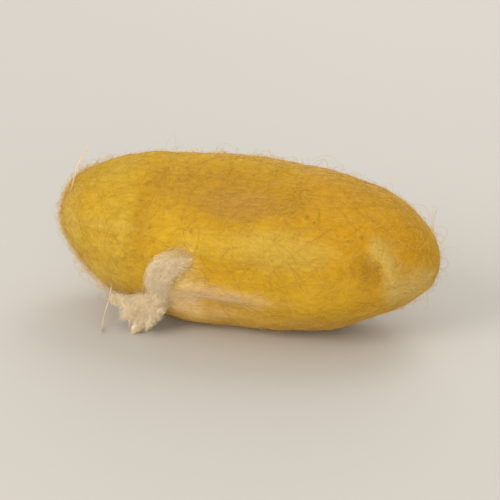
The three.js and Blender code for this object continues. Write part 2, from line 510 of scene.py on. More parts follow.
floss_depth = np.zeros(len(wall_points))
for lock, paleness in [*((lock, 1.0) for lock in LOCKS.values()), (TRAIL, TRAIL_PALENESS)]:
    half_widths = lock["width"] / 2 * MM * lock_fullness(lock, ROUTE_SHARES)
    middle, across, _ = lock_frame(lock, ROUTE_SHARES)
    centres = middle + across * (LEANS_OVER * lock["lean"] * half_widths)[:, None]
    half_widths = (1 - LEAN_NARROWS * lock["lean"]) * half_widths + FLOSS_MARGIN
    for centre, half_width, pale_here in zip(centres, half_widths, paleness * COMES_OUT):
        distance = np.linalg.norm(wall_points - centre, axis=1) / half_width
        depth_here = pale_here * (1 - smoothstep(*FLOSS_FADES, distance))
        floss_depth = np.maximum(floss_depth, depth_here)
paint(wall, "floss", floss_depth)
print("floss covers", round(100 * float(np.mean(floss_depth > 0.5)), 1), "% of the wall")

# %% Draw the tuft in, on its left
TUFT_DRAWN_IN = 0.45
TUFT_REACH = 1.6 * MM
TUFT_HELD = 0.75  # the share of its reach where it has its full hold
TUFT_RISES = (-0.7 * MM, -0.1 * MM)  # where it begins to stand off the wall, and where it does


def nearest_step(middle):
    """For each vertex of the wall, how far the nearest step of a lock is, and its number."""
    distances = np.linalg.norm(wall_points[:, None] - middle, axis=2)
    return distances.min(axis=1), distances.argmin(axis=1)


tuft_middle, tuft_left, tuft_out = lock_frame(LOCKS["tuft"], ROUTE_SHARES)
tuft_distance, step = nearest_step(tuft_middle)
from_middle = wall_points - tuft_middle[step]
leftwards = np.sum(from_middle * tuft_left[step], axis=1)
outwards = np.sum(from_middle * tuft_out[step], axis=1)
held = 1 - smoothstep(TUFT_HELD * TUFT_REACH, TUFT_REACH, tuft_distance)
drawn_in = TUFT_DRAWN_IN * held * smoothstep(*TUFT_RISES, outwards) * np.maximum(leftwards, 0)
wall_points -= drawn_in[:, None] * tuft_left[step]
print("the tuft's left side moves in by up to", round(float(drawn_in.max()) / MM, 2), "mm")

# %% Draw the other locks out to points
TIP_STARTS = 0.35
TIP_DRAWN_IN = 0.75
TIP_REACH = 0.65  # in widths of the lock
TIP_HELD = 0.8

for lock in [LOCKS[name] for name in LOCKS if name != "tuft"]:
    middle = along_route(lock["route"], ROUTE_SHARES)
    lock_distance, step = nearest_step(middle)
    reach = TIP_REACH * lock["width"] * MM
    held = 1 - smoothstep(TIP_HELD * reach, reach, lock_distance)
    drawn_in = TIP_DRAWN_IN * held * smoothstep(TIP_STARTS, 1.0, ROUTE_SHARES[step])
    wall_points += drawn_in[:, None] * (middle[step] - wall_points)
move_points(wall, wall_points)
print("their tips are", round(100 * (1 - TIP_DRAWN_IN)), "% as wide as before")

# %% Tease the locks
TEASED = {
    "grain": 0.45, "height": 0.45, "basis": "BLENDER_ORIGINAL", "depth": 2, "mid_level": 0.75,
}

teased = wall.vertex_groups.new(name="floss")
for number in np.flatnonzero(floss_depth > TRAIL_PALENESS):
    teased.add([int(number)], float(floss_depth[number]), "REPLACE")
displace("clumps", vertex_group="floss", **TEASED)
wall_points = keep_above_floor(wall)
print("teased", len(LOCKS), "locks into clumps", TEASED["grain"], "mm across")

# %% [markdown]
# ## Threads as tubes
#
# A silk thread is about a fortieth of a millimetre thick. Hair curves would draw it well, but
# they are lost when a model is exported, so every thread here is a real tube with three sides,
# closed at both ends. Thousands of them are worked out at once as arrays and joined in one mesh,
# because adding them one by one with operators would take hours. Three sides are enough: a thread
# is never more than a pixel or two wide.


# %% Turn paths into one mesh of tubes
SIDES = 3
THINNING = 0.65  # how much thinner a thread is at its ends


def unit(vectors):
    """The same directions, one long."""
    return vectors / np.maximum(np.linalg.norm(vectors, axis=-1, keepdims=True), 1e-12)


def thread_mesh(name, paths, radii, seed, alike=1):
    """One object of many tubes. paths is threads x points x 3, and radii is one for each thread.

    alike is how many threads in a row are much the same shade.
    """
    threads, steps, _ = paths.shape
    rng = np.random.default_rng(seed)
    onward = unit(np.gradient(paths, axis=1))
    side = np.empty_like(paths)
    side[:, 0] = unit(np.cross(onward[:, 0], rng.normal(size=(threads, 3))))
    for i in range(1, steps):
        before = side[:, i - 1]
        lean = np.sum(before * onward[:, i], axis=1, keepdims=True)
        side[:, i] = unit(before - lean * onward[:, i])
    other = np.cross(onward, side)
    taper = 1 - THINNING * np.abs(np.linspace(-1, 1, steps)) ** 4
    corners = np.radians(360 / SIDES * np.arange(SIDES))[:, None]
    spokes = side[:, :, None] * np.cos(corners) + other[:, :, None] * np.sin(corners)
    rings = paths[:, :, None] + radii[:, None, None, None] * taper[:, None, None] * spokes
    ring = np.arange(threads * steps).reshape(threads, steps)[:, :-1, None] * SIDES
    corner = np.arange(SIDES)
    turned = (corner + 1) % SIDES
    quads = np.stack(
        [ring + corner, ring + turned, ring + turned + SIDES, ring + corner + SIDES], axis=-1
    )
    first = np.arange(threads)[:, None] * steps * SIDES
    roots = first + corner[::-1]
    tips = first + (steps - 1) * SIDES + corner
    mesh = bpy.data.meshes.new(name)
    faces = quads.reshape(-1, 4).tolist() + roots.tolist() + tips.tolist()
    mesh.from_pydata(rings.reshape(-1, 3), [], faces)
    mesh.shade_smooth()
    obj = bpy.data.objects.new(name, mesh)
    bpy.context.collection.objects.link(obj)
    shared_shade = np.repeat(rng.random(threads // alike + 1), alike)[:threads]
    shades = shared_shade + (rng.random(threads) - shared_shade) / alike**0.5
    paint(obj, "thread", np.repeat(shades, steps * SIDES))
    triangles = threads * ((steps - 1) * SIDES * 2 + 2)
    print(f"{name}: {threads} threads, {triangles} triangles")
    return obj


# %% [markdown]
# ## Feeling for the wall
#
# Threads lie on the wall or drift near it, so they need to know where it is. A search tree of
# the wall's faces answers that: for any point it gives the nearest spot on the wall and the way
# out from there. Threads start at spots spread evenly over the wall, which are drawn by area with
# a seeded generator, so that every run gives the same threads.

# %% The search tree, and spots to start from
wall.data.calc_loop_triangles()
corner_numbers = np.empty(3 * len(wall.data.loop_triangles), dtype=int)
wall.data.loop_triangles.foreach_get("vertices", corner_numbers)
wall_triangles = corner_numbers.reshape(-1, 3)
wall_tree = BVHTree.FromPolygons(wall_points.tolist(), wall_triangles.tolist())
wall_corners = wall_points[wall_triangles]
wall_sides = wall_corners[:, 1:] - wall_corners[:, :1]
wall_crosses = np.cross(wall_sides[:, 0], wall_sides[:, 1])
wall_areas = np.linalg.norm(wall_crosses, axis=1) / 2
wall_middles = wall_corners.mean(axis=1)
triangle_floss = floss_depth[wall_triangles].mean(axis=1)


def spots_on_wall(count, rng, favour):
    """Spots on the wall and the way out from each. favour says how likely each triangle is."""
    odds = wall_areas * favour
    chosen = rng.choice(len(odds), size=count, p=odds / odds.sum())
    return wall_middles[chosen].copy(), unit(wall_crosses[chosen])


def nearest_wall(points):
    """The nearest spots on the wall, and the way out from each."""
    found = [wall_tree.find_nearest(Vector(point)) for point in points]
    return np.array([hit[0] for hit in found]), np.array([hit[1] for hit in found])


print("wall area:", round(float(wall_areas.sum()) / MM**2), "square mm")


# %% [markdown]
# ## Paths for threads
#
# Two kinds of path are enough. A laid thread walks over the wall, bearing left and right in slow
# turns, and is pulled back onto the wall at every step. A loose thread starts on the wall, leaves
# it at a slant and curls, and the further it gets from the wall the harder it is pulled back,
# so that it makes the low loops of a cocoon's haze.


# %% Walk on the wall
LOWEST = 0.03 * MM  # the middle of a thread that lies on the floor
SWAY = 2.5  # how much harder a thread sways from side to side than it turns
WAVES = (0.1, 0.45)  # in radians from one step to the next


def laid_paths(count, steps, step, bend, loft, seed, favour, spread=40):
    """Threads that wander over the wall.

    bend is how hard they turn, in radians per metre, loft how far a slack one stands off the wall,
    and spread how far from lengthways they head, in degrees.
    """
    rng = np.random.default_rng(seed)
    here, out = spots_on_wall(count, rng, favour)
    heading = np.radians(rng.normal(0, spread, count)) + np.pi * rng.integers(0, 2, count)
    lengthways = unit(np.array([1.0, 0, 0]) - out[:, :1] * out)
    crossways = np.cross(out, lengthways)
    onward = lengthways * np.cos(heading)[:, None] + crossways * np.sin(heading)[:, None]
    bends = rng.normal(0, bend, count)
    waves = rng.uniform(*WAVES, count)
    phases = rng.uniform(0, 2 * np.pi, count)
    lofts = loft * rng.random(count) ** 2
    paths = np.empty((count, steps, 3))
    for i in range(steps):
        on_wall, out = nearest_wall(here)
        off = lofts * np.sin(np.pi * i / (steps - 1)) ** 2
        paths[:, i] = on_wall + out * off[:, None]
        paths[:, i, 2] = np.maximum(paths[:, i, 2], LOWEST)
        onward = unit(onward - np.sum(onward * out, axis=1, keepdims=True) * out)
        turn = (bends + SWAY * bend * np.sin(phases + waves * i))[:, None] * step
        onward = onward * np.cos(turn) + np.cross(out, onward) * np.sin(turn)
        here = on_wall + onward * step
    return paths


# %% Drift off the wall
PULL_BACK = 0.45
STRONGEST_PULL = 1.5
NEW_SPIN = 0.25


def loose_paths(count, steps, step, rise, curl, reach, seed, favour):
    """Threads that leave the wall and loop back to it.

    rise is how steeply they leave, curl how hard they turn, in radians per metre, and reach how
    far they mostly get.
    """
    rng = np.random.default_rng(seed)
    here, out = spots_on_wall(count, rng, favour)
    sideways = unit(np.cross(out, rng.normal(size=(count, 3))))
    onward = unit(sideways + rise * rng.uniform(0.2, 1, (count, 1)) * out)
    spin = unit(rng.normal(size=(count, 3)))
    curls = rng.normal(0, curl, (count, 1))
    reaches = reach * (0.25 + rng.random(count) ** 2)
    paths = np.empty((count, steps, 3))
    for i in range(steps):
        paths[:, i] = here
        on_wall, out = nearest_wall(here)
        height = np.sum((here - on_wall) * out, axis=1)
        pull = np.clip(height / reaches, 0, STRONGEST_PULL)[:, None]
        bent = onward + np.cross(spin, onward) * curls * step - PULL_BACK * pull * out
        sunk = (height < 0)[:, None] & (i > 1)
        onward = unit(np.where(sunk, bent + out, bent))
        spin = unit(spin + rng.normal(0, NEW_SPIN, spin.shape))
        here = here + onward * step
        here[:, 2] = np.maximum(here[:, 2], LOWEST)
    return paths


# %% [markdown]
# ## The laid threads
#
# The outermost loops of the wall can be made out one by one, as fine lines that cross each other
# at a slant. They're made twice: once pressed flat against the wall, and once a little slack, so
# that they bridge the puckers and throw fine shadows into them.

# %% Lay them
THREAD_RADIUS = 0.014 * MM
PRESSED_ZONE = (0.1 * MM, 1.2 * MM)  # the heights where loose threads set in
FLOSS_HIDES = 0.8
PRESSED_BELOW = 0.3  # the odds of a thread on the underside, beside 1 more above it
SLACK_BELOW = 0.2
above_floor = smoothstep(*PRESSED_ZONE, wall_middles[:, 2])
bare_wall = 1 - FLOSS_HIDES * triangle_floss


def thread_radii(paths, thinnest, thickest, seed, middling=THREAD_RADIUS):
    """A radius for each thread, between these shares of a middling one."""
    return middling * np.random.default_rng(seed).uniform(thinnest, thickest, len(paths))


pressed = laid_paths(
    count=1500, steps=19, step=0.42 * MM, bend=60.0, loft=0.03 * MM, seed=11,
    favour=bare_wall * (PRESSED_BELOW + above_floor),
)
pressed_radii = thread_radii(pressed, 0.7, 1.2, seed=12)
pressed_threads = thread_mesh("pressed_threads", pressed, pressed_radii, seed=12)
slack = laid_paths(
    count=1500, steps=16, step=0.34 * MM, bend=160.0, loft=0.1 * MM, seed=21,
    favour=bare_wall * (SLACK_BELOW + above_floor), spread=55,
)
slack_radii = thread_radii(slack, 0.6, 1.1, seed=22)
slack_threads = thread_mesh("slack_threads", slack, slack_radii, seed=22)

# %% [markdown]
# ## The haze
#
# Round every cocoon is a haze of loose silk, the first threads that the silkworm fixed to its
# twig. On this one it is thin, under a millimetre deep. It is thicker at the blunt end, with some
# paler fuzz among it, and here and there a few long curls have been pulled out. All three are
# loose threads, so the same helper makes them, with other lengths and other odds.

# %% Short loops all over
HAZE_THICKENS = (0.7, 0.95)  # from here to there, in half lengths towards the blunt tip
HAZE_THICKER = 3
towards_blunt_tip = -wall_middles[:, 0] / HALF
thicker = 1 + HAZE_THICKER * smoothstep(*HAZE_THICKENS, towards_blunt_tip)
haze = loose_paths(
    count=3600, steps=9, step=0.17 * MM, rise=1.1, curl=1900.0, reach=0.5 * MM, seed=31,
    favour=bare_wall * above_floor * thicker,
)
haze_threads = thread_mesh("haze", haze, thread_radii(haze, 0.5, 0.8, seed=32), seed=32)

# %% Paler fuzz round the blunt end
FUZZ_SETS_IN = (0.72, 0.97)
FUZZ_ELSEWHERE = 0.01
fuzz_odds = smoothstep(*FUZZ_SETS_IN, towards_blunt_tip) + FUZZ_ELSEWHERE
fuzz = loose_paths(
    count=620, steps=8, step=0.17 * MM, rise=1.6, curl=1500.0, reach=0.7 * MM, seed=35,
    favour=bare_wall * above_floor * fuzz_odds,
)
fuzz_radii = thread_radii(fuzz, 0.55, 0.95, seed=36)
fuzz_threads = thread_mesh("blunt_end_fuzz", fuzz, fuzz_radii, seed=36)

# %% Longer curls where the silk was torn from its twig
CURL_SPOTS = [
    {"along": -13.0, "around": -50.0, "reach": 3.2, "share": 1.5},
    {"along": 16.0, "around": 40.0, "reach": 3.6, "share": 0.8},
    {"along": 0.5, "around": 104.0, "reach": 3.0, "share": 0.3},
    {"along": -6.5, "around": 84.0, "reach": 1.8, "share": 0.5},
    {"along": -15.5, "around": 60.0, "reach": 3.0, "share": 0.4},
    {"along": 6.0, "around": 190.0, "reach": 4.0, "share": 0.4},
]
ODDS_ELSEWHERE = 0.02
curl_odds = np.full(len(wall_areas), ODDS_ELSEWHERE)
for spot in CURL_SPOTS:
    centre = place_off_wall(spot["along"] * MM, spot["around"])
    distance = np.linalg.norm(wall_middles - centre, axis=1) / (spot["reach"] * MM)
    curl_odds += spot["share"] * np.exp(-distance**2)
end_curls = loose_paths(
    count=360, steps=22, step=0.19 * MM, rise=1.9, curl=1700.0, reach=2.2 * MM, seed=41,
    favour=curl_odds * above_floor,
)
end_radii = thread_radii(end_curls, 0.5, 0.95, seed=42)
end_threads = thread_mesh("end_curls", end_curls, end_radii, seed=42)

# %% [markdown]
# ## The free strands
#
# A few threads have come quite free. Two strands are thick: one lies round the blunt cap and
# stands up behind it, and one hangs down in front as far as the floor. The other four are thin.
# Each strand is a small bundle: its threads share the route, and each has its own place in the
# bundle and its own waver, which grows towards the loose end.

# %% Make the strands
STRAND_RADIUS = 0.018 * MM
TWIST = 3  # radians, from a strand's root to its tip
WAVER_PACE = 12  # radians too
OWN_WAVER = 0.4  # how far out of step with its bundle a thread wavers
MANY = 5  # threads in a thick strand
strand_rng = np.random.default_rng(45)


def strand_bundle(name, strands):
    """The threads of these strands, as one object."""
    paths = []
    for strand in strands:
        shared_waver = strand_rng.uniform(0, 2 * np.pi, 3)
        for _ in range(strand["threads"]):
            path = along_route(strand["route"], ROUTE_SHARES)
            place_in_bundle = strand_rng.normal(0, strand["spread"] * MM, 3)
            twist = np.cos(TWIST * ROUTE_SHARES + strand_rng.uniform(0, 1))
            path += place_in_bundle * twist[:, None]
            for axis, phase in enumerate(shared_waver):
                own_phase = phase + strand_rng.normal(0, OWN_WAVER)
                waves = np.sin(WAVER_PACE * ROUTE_SHARES + own_phase)
                path[:, axis] += strand["waver"] * MM * ROUTE_SHARES * waves
            path[:, 2] = np.maximum(path[:, 2], STRAND_RADIUS)
            paths.append(path)
    radii = thread_radii(paths, 0.7, 1.3, seed=46, middling=STRAND_RADIUS)
    return thread_mesh(name, np.array(paths), radii, seed=46)


thick = [strand for strand in STRANDS.values() if strand["threads"] >= MANY]
thin = [strand for strand in STRANDS.values() if strand["threads"] < MANY]
thick_strands = strand_bundle("thick_strands", thick)
thin_strands = strand_bundle("thin_strands", thin)

# %% [markdown]
# ## The floss of the wisp
#
# Floss is crimped: each thread runs with its lock but wavers from side to side. It also clumps,
# so the threads are made in clumps that share their place in the lock and their waver, and each
# thread misses its clump by a little. The clumps fray out towards the lock's tip. A second lot of
# threads starts from the lock's skin and curls away from it, which makes the wisp fluffy.


# %% Threads that run with a lock
CRIMP = 0.38 * MM
CRIMP_WAVES = (1.6, 3.7)  # slow and quick ones: pairs of waves along a lock
CRIMP_PACES = (0.7, 1.4)
DEPTHS = (0.45, 1.1)  # where clumps lie, from the lock's middle to its skin
LATEST_START = 0.9
ROUNDNESS = 0.7  # 1 is an ellipse, and less is fuller


def lock_paths(
    lock, count, clumps, looseness, steps, seed, starting=(0.0, 0.4), lasting=(0.4, 0.95)
):
    """Crimped threads along a lock, in clumps, each over a part of the lock's length.

    starting and lasting say between which shares of that length threads start, and how long they
    are. looseness is how far each thread misses its clump.
    """
    rng = np.random.default_rng(seed)
    clump = np.arange(count) * clumps // count

    def drawn(low, high, jitter, size=1):
        """A number for each clump, which each of its threads misses by a little."""
        middling = rng.uniform(low, high, (clumps, size))[clump]
        return middling + rng.normal(0, jitter * looseness, (count, size))

    starts = np.clip(drawn(*starting, jitter=0.05), 0.0, LATEST_START)
    ends = np.minimum(starts + drawn(*lasting, jitter=0.05), 1.0)
    shares = starts + (ends - starts) * np.linspace(0, 1, steps)
    middle, sideways, out = lock_frame(lock, shares)
    turn = drawn(0, 2 * np.pi, jitter=0.3)
    turn -= lock["lean"] * np.sin(turn)
    depth_in_lock = drawn(*DEPTHS, jitter=0.12) * (1 + lock["fray"] * shares**3)
    full = lock_fullness(lock, np.clip(shares, *lock["pinch"])) * depth_in_lock
    across = lock["width"] / 2 * MM * full * np.cos(turn)
    rounded = np.abs(np.sin(turn)) ** ROUNDNESS * np.sign(np.sin(turn))
    outwards = lock["depth"] / 2 * MM * full * rounded
    for wave in CRIMP_WAVES:
        phase = drawn(0, 2 * np.pi, jitter=0.5, size=2)
        pace = 4 * np.pi * wave * drawn(*CRIMP_PACES, jitter=0.05)
        across += CRIMP / wave * np.sin(pace * shares + phase[:, :1])
        outwards += CRIMP / wave * np.sin(pace * shares + phase[:, 1:])
    paths = middle + sideways * across[..., None] + out * outwards[..., None]
    paths[..., 2] = np.maximum(paths[..., 2], LOWEST)
    return paths


# %% Make the wisp
FLOSS_RADIUS = 0.013 * MM
LOCK_THREADS = {
    "tuft": 420, "hanging lock": 320, "side lock": 190, "middle lock": 220, "short lock": 130,
}
THREADS_IN_CLUMP = 10
DEEP_FLOSS = 0.6
WISP_SEEDS = range(51, 51 + len(LOCK_THREADS))
wisp_paths = np.concatenate([
    lock_paths(LOCKS[name], count, count // THREADS_IN_CLUMP, looseness=1.7, steps=16, seed=seed)
    for (name, count), seed in zip(LOCK_THREADS.items(), WISP_SEEDS)
])
wisp_radii = thread_radii(wisp_paths, 0.6, 1.1, seed=61, middling=FLOSS_RADIUS)
wisp_threads = thread_mesh(
    "wisp_threads", wisp_paths, wisp_radii, seed=61, alike=THREADS_IN_CLUMP
)
fluff = loose_paths(
    count=1400, steps=12, step=0.15 * MM, rise=0.7, curl=1900.0, reach=0.45 * MM, seed=73,
    favour=np.maximum(triangle_floss - DEEP_FLOSS, 0),
)
fluff_radii = thread_radii(fluff, 0.5, 0.9, seed=72, middling=FLOSS_RADIUS)
fluff_threads = thread_mesh("wisp_fluff", fluff, fluff_radii, seed=72)

# %% Lay the trail
TRAIL_LIES = 0.02 * MM  # how far off the wall its lowest threads are
TRAIL_LOFT = 0.25 * MM
trail = lock_paths(
    TRAIL, count=130, clumps=60, looseness=2.5, steps=18, seed=82, starting=(0.0, 0.6),
    lasting=(0.15, 0.4),
)
trail_on_wall, trail_out = nearest_wall(trail.reshape(-1, 3))
trail_lofts = TRAIL_LIES + TRAIL_LOFT * np.random.default_rng(81).random(len(trail)) ** 2
trail_offs = trail_out * np.repeat(trail_lofts, trail.shape[1])[:, None]
trail = (trail_on_wall + trail_offs).reshape(trail.shape)
trail_radii = thread_radii(trail, 0.5, 0.9, seed=83, middling=FLOSS_RADIUS)
trail_threads = thread_mesh("wisp_trail", trail, trail_radii, seed=83)

# %% [markdown]
# ## Colours of the silk
#
# The silk is golden, but it isn't one gold. Its top is a dull ochre, partly its own tan and partly
# painted shade, its blunt cap is paler, its slim end more orange, and the underside is tan, made
# lighter by painted bounce light from below. Some patches are painted light alone: highlights on
# the shoulder, on the crest by the pinch, at the slim tip and on the cap's rim, and shade in the
# crease behind the cap and in the pinch. Each is a soft patch, placed by the same two numbers as
# before, and the small brown specks are patches too. One small group
# works out a patch's mask, and a second group stacks all the patches over the base colour. Every
# silk material uses that second group, so that threads always match the wall under them.

# %% A group that says where on the wall a point is
place_group, _, place_out = new_group(
    "place on the wall", {}, {"Along": "NodeSocketFloat", "Around": "NodeSocketFloat"}
)
place_in = add_node(place_group, "ShaderNodeTexCoord").outputs["Object"]
place_xyz = add_node(place_group, "ShaderNodeSeparateXYZ", {0: place_in}).outputs
above_axis = maths(place_group, "SUBTRACT", place_xyz["Z"], AXIS_HEIGHT)
before_axis = maths(place_group, "MULTIPLY", place_xyz["Y"], -1.0)
around = maths(place_group, "ARCTAN2", above_axis, before_axis)
place_group.links.new(maths(place_group, "DIVIDE", place_xyz["X"], MM), place_out.inputs["Along"])
place_group.links.new(maths(place_group, "DEGREES", around, 0.0), place_out.inputs["Around"])

# %% A group that makes one soft patch
EDGE_CLOUDS = 460.0  # per metre, in a ragged edge

patch_group, patch_in, patch_out = new_group(
    "soft patch",
    {
        "Along": 0.0, "Around": 0.0, "Centre along": 0.0, "Centre around": 0.0,
        "Reach along": 1.0, "Reach around": 10.0, "Softness": 0.5, "Ragged": 0.0,
    },
    {"Mask": "NodeSocketFloat"},
)
patch_x = maths(patch_group, "SUBTRACT", patch_in["Along"], patch_in["Centre along"])
patch_y = maths(patch_group, "SUBTRACT", patch_in["Around"], patch_in["Centre around"])
patch_y = maths(patch_group, "WRAP", patch_y, 180.0, -180.0)
patch_x = maths(patch_group, "DIVIDE", patch_x, patch_in["Reach along"])
patch_y = maths(patch_group, "DIVIDE", patch_y, patch_in["Reach around"])
patch_xx = maths(patch_group, "MULTIPLY", patch_x, patch_x)
patch_yy = maths(patch_group, "MULTIPLY", patch_y, patch_y)
patch_far = maths(patch_group, "SQRT", maths(patch_group, "ADD", patch_xx, patch_yy))
patch_tear = maths(patch_group, "SUBTRACT", noise(patch_group, EDGE_CLOUDS, detail=4.0), 0.5)
patch_tear = maths(patch_group, "MULTIPLY", patch_tear, patch_in["Ragged"])
patch_far = maths(patch_group, "ADD", patch_far, patch_tear)
patch_mask = add_node(
    patch_group,
    "ShaderNodeMapRange",
    {
        "Value": patch_far,
        "From Min": maths(patch_group, "SUBTRACT", 1.0, patch_in["Softness"]),
        "From Max": maths(patch_group, "ADD", 1.0, patch_in["Softness"]),
        "To Min": 1.0,
        "To Max": 0.0,
    },
    interpolation_type="SMOOTHSTEP",
)
patch_group.links.new(patch_mask.outputs[0], patch_out.inputs["Mask"])


# %% Lay a patch over a colour
def patch(rgb, strength, centre, reach, softness, ragged):
    """One patch. centre and reach are both given as mm along the cocoon, and degrees round it."""
    sizes = {
        "centre_along": centre[0], "centre_around": centre[1], "reach_along": reach[0],
        "reach_around": reach[1], "softness": softness, "ragged": ragged,
    }
    return {"colour": linear(*rgb), "strength": strength, "sizes": sizes}


def lay_patch(tree, place, under, name, colour, strength, sizes):
    """The colour under a patch, with the patch laid over it."""
    node = use_group(tree, patch_group, along=place["Along"], around=place["Around"], **sizes)
    node.label = name
    share = maths(tree, "MULTIPLY", node.outputs["Mask"], strength)
    return mix_colours(tree, share, under, colour)


# %% The patches, from the widest to the smallest
GOLD = linear(196, 156, 30)
DEEP_GOLD = linear(184, 138, 14)
PALE_SILK = linear(226, 184, 78)
PATCHES = {
    "orange slim end": patch((190, 136, 8), 0.75, (12, 50), (7, 60), 0.6, 0.8),
    "pale blunt cap": patch((188, 156, 44), 0.85, (-12.8, 15), (4.6, 75), 0.35, 1.3),
    "greenish front of the cap": patch((184, 150, 50), 0.7, (-11.4, -16), (3, 26), 0.6, 0.8),
    # The ochre on the top is partly the silk's own tan and partly painted shade, which darkens the
    # top as if something above it kept the light off.
    "top in ochre and painted shade": patch((172, 126, 28), 0.85, (-0.4, 60), (8, 24), 0.4, 1.3),
    "slim half's top in ochre and painted shade": patch((180, 132, 26), 0.7, (8.8, 92), (5, 18), 0.5, 0.9),
    "pinkish tan": patch((172, 124, 58), 0.75, (0.4, 49), (2.7, 11), 0.9, 1.4),
    # Painted highlights: the shoulder ridge along the front, and its end by the wisp, are made
    # paler where the light catches them.
    "painted highlight on the shoulder": patch((190, 160, 66), 0.75, (5.2, 18), (4.2, 13), 0.5, 0.9),
    "painted highlight on the edge by the wisp": patch((200, 164, 50), 0.6, (-1.2, 16), (2.6, 8), 0.7, 0.9),
    "gold beside it": patch((196, 148, 18), 0.6, (-0.2, -2), (1.8, 9), 0.6, 0.8),
    "orange lower front": patch((186, 146, 32), 0.6, (8.4, -10), (3.6, 12), 0.7, 0.9),
    "light lip behind the cap": patch((204, 172, 66), 0.3, (-9.2, 20), (0.6, 15), 1, 1.2),
    # Painted shade: the crease behind the cap is darkened where the shade falls into it.
    "painted shade in the crease behind the cap": patch((174, 130, 24), 0.75, (-8, 18), (0.9, 34), 0.8, 1),
    "light line across the cap": patch((210, 180, 88), 0.5, (-12.6, 21), (3.4, 4), 0.7, 0.6),
    "yellow above that line": patch((206, 162, 30), 0.6, (-13.3, 40), (2.2, 14), 0.6, 0.8),
    # Painted light: the cap's rim is made paler where it catches the light, and its lower rim as if
    # lit by light bounced up from below.
    "painted light on the cap's rim": patch((210, 184, 96), 0.7, (-15.7, 5), (1.3, 60), 0.7, 0.8),
    "painted bounce light on the cap's lower rim": patch((216, 190, 104), 0.7, (-13.4, -42), (2.6, 18), 0.8, 0.8),
    # The underside is the silk's own tan, made lighter by painted bounce light from below.
    "tan underside with painted bounce light": patch((200, 156, 80), 0.6, (1, -62), (12, 24), 0.5, 0.8),
    "tan by the wisp": patch((204, 172, 112), 0.7, (-3.4, -38), (4.4, 14), 0.6, 1),
    "tan streak under the trail": patch((214, 180, 122), 0.8, (-0.6, -21), (4.2, 6), 0.9, 1.4),
    "ochre under the trail": patch((188, 142, 58), 0.6, (-1.6, -31), (1.6, 4.5), 0.8, 1),
    "floss where the trail starts": patch((228, 198, 152), 0.85, (-4, -29), (1.5, 14), 0.7, 1.2),
    "thin floss beside the tuft": patch((218, 192, 132), 0.7, (-3.5, -8), (1.3, 13), 1, 2),
    # Painted shade: the dent of the pinch is darkened where the shade falls into it.
    "painted shade in the pinch": patch((164, 116, 20), 0.6, (12.5, 2), (0.9, 15), 0.7, 0.8),
    # Painted highlight: the crest beside the pinch is made pale where it catches the light.
    "painted highlight on the crest, upper part": patch((190, 164, 84), 0.75, (13, 26), (0.8, 14), 0.6, 0.9),
    "painted highlight on the crest, lower part": patch((194, 168, 98), 0.75, (14.1, -14), (0.75, 40), 0.6, 0.9),
    # Painted highlight: the rim at the tip under the slim end is made pale where it catches the
    # light.
    "painted highlight at the tip under the slim end": patch((206, 184, 122), 0.6, (15.8, -36), (1.3, 42), 0.7, 1),
    "yellow back": patch((204, 166, 40), 0.6, (-5, 166), (5, 20), 0.6, 1.1),
    "orange back of the slim half": patch((190, 136, 18), 0.6, (7.5, 152), (4.6, 26), 0.6, 1.1),
    "pale back shoulder": patch((206, 172, 70), 0.6, (2.4, 194), (3.6, 12), 0.6, 1.1),
    "pale back of the cap": patch((202, 172, 76), 0.6, (-13.6, 180), (2.6, 60), 0.6, 1.1),
}
SPECK_BROWN = (124, 78, 26)
SPECK_STRENGTH = 0.5
SPECKS = [  # mm along, degrees round, and the reach in mm
    (6.7, 45, 0.24), (7.4, 42, 0.14), (11.5, 37, 0.2), (-2.9, 24, 0.2), (-6.9, 23, 0.18),
    (4.5, 11, 0.12), (10.9, -47, 0.2), (-9, 150, 0.3), (3.4, 205, 0.28),
]
DEGREES_PER_MM = 180 / math.pi / (GIRTH / 2 / MM)

# %% Stack them in one group
GOLD_CLOUDS = 260.0  # per metre
colour_group, colour_in, colour_out = new_group(
    "silk colours", {"Paleness": 0.0}, {"Color": "NodeSocketColor"}
)
colour_place = use_group(colour_group, place_group).outputs
gold_cloud = noise(colour_group, GOLD_CLOUDS, detail=4.0, roughness=0.6)
gold_share = add_node(
    colour_group, "ShaderNodeMapRange", {"Value": gold_cloud, "From Min": 0.3, "From Max": 0.7}
).outputs[0]
colour = mix_colours(colour_group, gold_share, DEEP_GOLD, GOLD)
for name, values in PATCHES.items():
    colour = lay_patch(colour_group, colour_place, colour, name, **values)
for along, turned, reach in SPECKS:
    round_reach = (reach, reach * DEGREES_PER_MM)
    values = patch(SPECK_BROWN, SPECK_STRENGTH, (along, turned), round_reach, 0.6, 1.0)
    colour = lay_patch(colour_group, colour_place, colour, "speck", **values)
colour = mix_colours(colour_group, colour_in["Paleness"], colour, PALE_SILK)
colour_group.links.new(colour, colour_out.inputs["Color"])
print(len(PATCHES), "patches and", len(SPECKS), "specks")

# %% [markdown]
# ## Thread grain
#
# Below the threads that are modelled there are thousands more, too fine to model, which streak
# the felt. They're drawn by noise that is stretched along the cocoon, laid at three slants so
# that the streaks cross as the silkworm's loops do. The group puts out one value, which the
# materials use to shade the colour, and the felt also to raise a fine bump.

